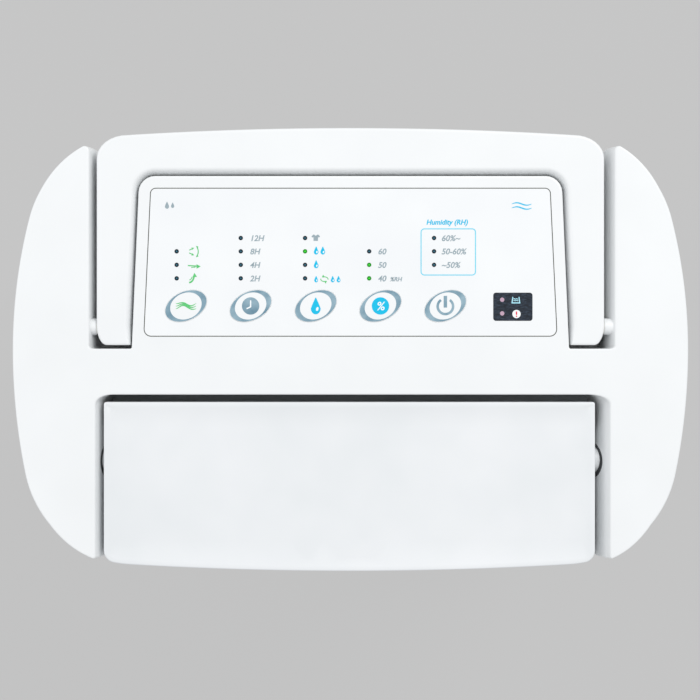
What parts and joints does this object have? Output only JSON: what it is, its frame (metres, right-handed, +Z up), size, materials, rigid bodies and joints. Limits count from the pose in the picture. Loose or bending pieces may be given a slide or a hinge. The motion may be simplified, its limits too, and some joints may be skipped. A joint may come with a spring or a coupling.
{
  "type": "dehumidifier",
  "caption": "Upright desiccant dehumidifier with a lift-up carry handle, a top louver, a key panel, a pull-out water tank and a rear filter.",
  "frame": {"origin": "on the floor under the middle of the plan", "axes": "+Z up, +X to the right and -Y to the front, where the tank comes out"},
  "size_m": [0.336, 0.22, 0.51],
  "materials": {
    "white_abs": "fine satin moulded ABS",
    "grey_abs": "satin moulded ABS",
    "black_abs": "satin moulded ABS",
    "film": "satin printed polyester film",
    "key": "smooth moulded key cap",
    "dark_window": "smoked acrylic",
    "clear_san": "clear moulded plastic",
    "rubber": "matt rubber",
    "steel": "ground steel",
    "galvanised": "zinc plated steel",
    "board": "green circuit board",
    "zeolite": "zeolite coated ceramic paper honeycomb",
    "polypropylene": "natural polypropylene",
    "pom": "natural acetal",
    "foam": "closed cell foam",
    "mesh": "woven filter mesh",
    "magnet": "sintered magnet"
  },
  "bodies": {
    "housing": {"base_pan": "white_abs", "left_side_panel": "white_abs", "right_side_panel": "white_abs", "front_panel": "white_abs", "rear_panel": "white_abs", "top_cover": "white_abs", "humidity_sensor": "white_abs", "outlet_duct": "grey_abs", "outlet_grille": "grey_abs", "cord_gland": "black_abs", "tank_switch": "black_abs", "rotor_cassette": "black_abs", "regen_fan_housing": "black_abs", "process_fan_housing": "black_abs", "process_fan_cover": "black_abs", "control_film": "film", "indicator_window": "dark_window", "foot_front_left": "rubber", "foot_front_right": "rubber", "foot_rear_left": "rubber", "foot_rear_right": "rubber", "rotor_axle": "steel", "heater_element": "steel", "louver_motor": "galvanised", "rotor_motor": "galvanised", "heater_housing": "galvanised", "regen_motor": "galvanised", "process_fan_motor": "galvanised", "display_board": "board", "main_board": "board", "condenser": "polypropylene", "drip_tray": "polypropylene", "handle_pin_left": "pom", "handle_pin_right": "pom"},
    "handle": {"carry_handle": "white_abs"},
    "louver": {"louver_flap": "white_abs", "louver_shaft": "steel"},
    "airflow_button": {"airflow_key": "key"},
    "timer_button": {"timer_key": "key"},
    "mode_button": {"mode_key": "key"},
    "humidity_button": {"humidity_key": "key"},
    "power_button": {"power_key": "key"},
    "rotor": {"desiccant_rotor": "zeolite", "rotor_hub": "pom", "rotor_rim_gear": "pom"},
    "pinion": {"rotor_pinion": "pom"},
    "regen_fan": {"regen_impeller": "pom", "regen_fan_shaft": "steel"},
    "process_fan": {"process_impeller": "pom", "process_fan_shaft": "steel"},
    "tank": {"water_tank": "clear_san", "tank_lid": "white_abs", "tank_front": "white_abs", "level_window": "clear_san"},
    "float": {"tank_float": "foam", "float_magnet": "magnet"},
    "filter": {"rear_grille": "white_abs", "filter_frame": "grey_abs", "filter_mesh": "mesh"}
  },
  "joints": [
    {"name": "handle_lift", "type": "hinge", "parent": "housing", "child": "handle", "pos_m": [0, 0.0114, 0.5041], "axis": [1, 0, 0], "range_deg": [0, 90]},
    {"name": "louver_swing", "type": "hinge", "parent": "housing", "child": "louver", "pos_m": [0, -0.0553, 0.4956], "axis": [-1, 0, 0], "range_deg": [0, 75]},
    {"name": "airflow_press", "type": "slide", "parent": "housing", "child": "airflow_button", "axis": [0, 0, -1], "range_m": [0, 0.0008], "stiffness_N_per_m": 600},
    {"name": "timer_press", "type": "slide", "parent": "housing", "child": "timer_button", "axis": [0, 0, -1], "range_m": [0, 0.0008], "stiffness_N_per_m": 600},
    {"name": "mode_press", "type": "slide", "parent": "housing", "child": "mode_button", "axis": [0, 0, -1], "range_m": [0, 0.0008], "stiffness_N_per_m": 600},
    {"name": "humidity_press", "type": "slide", "parent": "housing", "child": "humidity_button", "axis": [0, 0, -1], "range_m": [0, 0.0008], "stiffness_N_per_m": 600},
    {"name": "power_press", "type": "slide", "parent": "housing", "child": "power_button", "axis": [0, 0, -1], "range_m": [0, 0.0008], "stiffness_N_per_m": 600},
    {"name": "rotor_turn", "type": "hinge", "parent": "housing", "child": "rotor", "pos_m": [0, 0.038, 0.3], "axis": [0, 1, 0], "continuous": true},
    {"name": "pinion_turn", "type": "hinge", "parent": "housing", "child": "pinion", "pos_m": [0.07722, 0.038, 0.22278], "axis": [0, 1, 0], "continuous": true},
    {"name": "process_fan_turn", "type": "hinge", "parent": "housing", "child": "process_fan", "pos_m": [0, -0.072, 0.285], "axis": [0, 1, 0], "continuous": true},
    {"name": "regen_fan_turn", "type": "hinge", "parent": "housing", "child": "regen_fan", "pos_m": [-0.112, -0.01, 0.33], "axis": [0, 1, 0], "continuous": true},
    {"name": "tank_slide", "type": "slide", "parent": "housing", "child": "tank", "axis": [0, -1, 0], "range_m": [0, 0.15]},
    {"name": "float_swing", "type": "hinge", "parent": "tank", "child": "float", "pos_m": [0.07, 0.022, 0.136], "axis": [-1, 0, 0], "range_deg": [0, 20]},
    {"name": "filter_pull", "type": "slide", "parent": "housing", "child": "filter", "axis": [0, 1, 0], "range_m": [0, 0.04]}
  ],
  "couplings": [
    {"joint": "pinion_turn", "follows": "rotor_turn", "ratio": -6}
  ]
}
